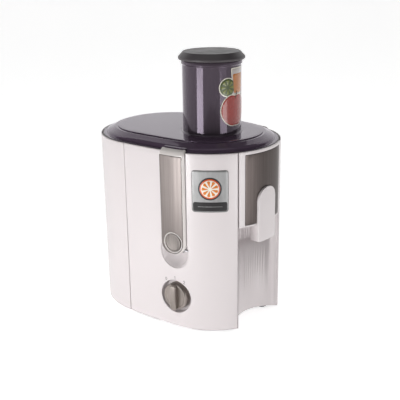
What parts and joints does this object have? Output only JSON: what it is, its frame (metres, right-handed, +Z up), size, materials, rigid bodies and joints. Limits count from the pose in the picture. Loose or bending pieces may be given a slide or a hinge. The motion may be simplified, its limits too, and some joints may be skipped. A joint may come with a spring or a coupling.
{
  "type": "centrifugal juicer",
  "caption": "Oval centrifugal juicer with a lift-off lid and wide feed chute, side latches, spinning sieve, slide-out pulp container, pull-off spout and turning switch knob.",
  "frame": {"origin": "under the middle of the outer box, on the table under the rubber feet", "axes": "+Z up, +X towards the juice spout, -Y the long side with the knob"},
  "size_m": [0.2758, 0.2046, 0.37],
  "materials": {
    "white_body": "glossy white moulded body",
    "smoke_clear": "smoke-tinted clear moulding",
    "smoke_grey": "satin smoke-grey moulding",
    "brushed_steel": "brushed sheet, grain upright",
    "bright_steel": "polished trim",
    "sieve_steel": "etched stainless mesh",
    "grey_plastic": "matt grey moulding",
    "black_plastic": "matt black moulding",
    "clear_bowl": "pale moulded bowl",
    "black_rubber": "soft rubber",
    "grey_rubber": "soft seal",
    "zinc_steel": "zinc-plated steel",
    "cast_bracket": "die-cast bracket",
    "core_iron": "stacked iron sheet",
    "copper": "enamelled copper wire",
    "bronze": "sintered bronze",
    "carbon": "pressed carbon",
    "board_green": "circuit board",
    "badge_print": "printed sticker",
    "label_print": "printed sticker",
    "switch_plastic": "switch casing"
  },
  "bodies": {
    "housing": {"motor_housing": "white_body", "base_plate": "grey_plastic", "rubber_feet": "black_rubber", "base_screws": "zinc_steel", "end_frame": "white_body", "steel_end_panel": "brushed_steel", "juice_collector": "clear_bowl", "front_badge": "badge_print", "cable_bushing": "black_rubber", "switch_body": "switch_plastic", "circuit_board": "board_green", "stator": "core_iron", "field_windings": "copper", "upper_bracket": "cast_bracket", "lower_bracket": "cast_bracket", "motor_bearings": "bronze", "motor_screws": "zinc_steel", "motor_dampers": "black_rubber", "brush_holders": "black_plastic", "carbon_brushes": "carbon", "shaft_seal": "grey_rubber", "front_latch_pin": "zinc_steel", "rear_latch_pin": "zinc_steel"},
    "rotor": {"motor_shaft": "zinc_steel", "rotor_core": "core_iron", "rotor_windings": "copper", "commutator": "bronze", "cooling_fan": "grey_plastic", "drive_coupling": "black_plastic", "basket_frame": "grey_plastic", "sieve_mesh": "sieve_steel", "grating_disc": "sieve_steel"},
    "lid": {"lid": "smoke_clear", "lid_gasket": "grey_rubber", "chute_label": "label_print"},
    "pusher": {"pusher_tube": "smoke_clear", "pusher_cap": "smoke_grey"},
    "front_latch": {"front_latch_arm": "white_body", "front_latch_trim": "brushed_steel", "front_latch_disc": "bright_steel"},
    "rear_latch": {"rear_latch_arm": "white_body", "rear_latch_trim": "brushed_steel", "rear_latch_disc": "bright_steel"},
    "knob": {"knob": "brushed_steel", "knob_grip": "brushed_steel", "switch_shaft": "zinc_steel"},
    "spout": {"spout": "white_body"},
    "pulp_container": {"pulp_container": "white_body", "pulp_feet": "black_rubber"}
  },
  "joints": [
    {"name": "sieve_spin", "type": "hinge", "parent": "housing", "child": "rotor", "pos_m": [0.041, 0, 0.1], "axis": [0, 0, 1], "continuous": true},
    {"name": "lid_lift", "type": "slide", "parent": "housing", "child": "lid", "axis": [0, 0, 1], "range_m": [0, 0.06]},
    {"name": "pusher_slide", "type": "slide", "parent": "lid", "child": "pusher", "axis": [0, 0, 1], "range_m": [0, 0.15]},
    {"name": "front_latch_swing", "type": "hinge", "parent": "housing", "child": "front_latch", "pos_m": [0.05141, -0.08859, 0.117], "axis": [0.9932, 0.1166, 0], "range_deg": [0, 40]},
    {"name": "rear_latch_swing", "type": "hinge", "parent": "housing", "child": "rear_latch", "pos_m": [0.05141, 0.08859, 0.117], "axis": [-0.9932, 0.1166, 0], "range_deg": [0, 40]},
    {"name": "knob_turn", "type": "hinge", "parent": "housing", "child": "knob", "pos_m": [0.0515, -0.08939, 0.048], "axis": [0.1166, -0.9932, 0], "range_deg": [-35, 35]},
    {"name": "spout_pull", "type": "slide", "parent": "housing", "child": "spout", "axis": [1, 0, 0], "range_m": [0, 0.025]},
    {"name": "pulp_slide", "type": "slide", "parent": "housing", "child": "pulp_container", "axis": [-1, 0, 0], "range_m": [0, 0.12]}
  ],
  "couplings": [
    {"joint": "front_latch_swing", "follows": "lid_lift", "rad_per_m": 11.636},
    {"joint": "rear_latch_swing", "follows": "lid_lift", "rad_per_m": 11.636}
  ]
}
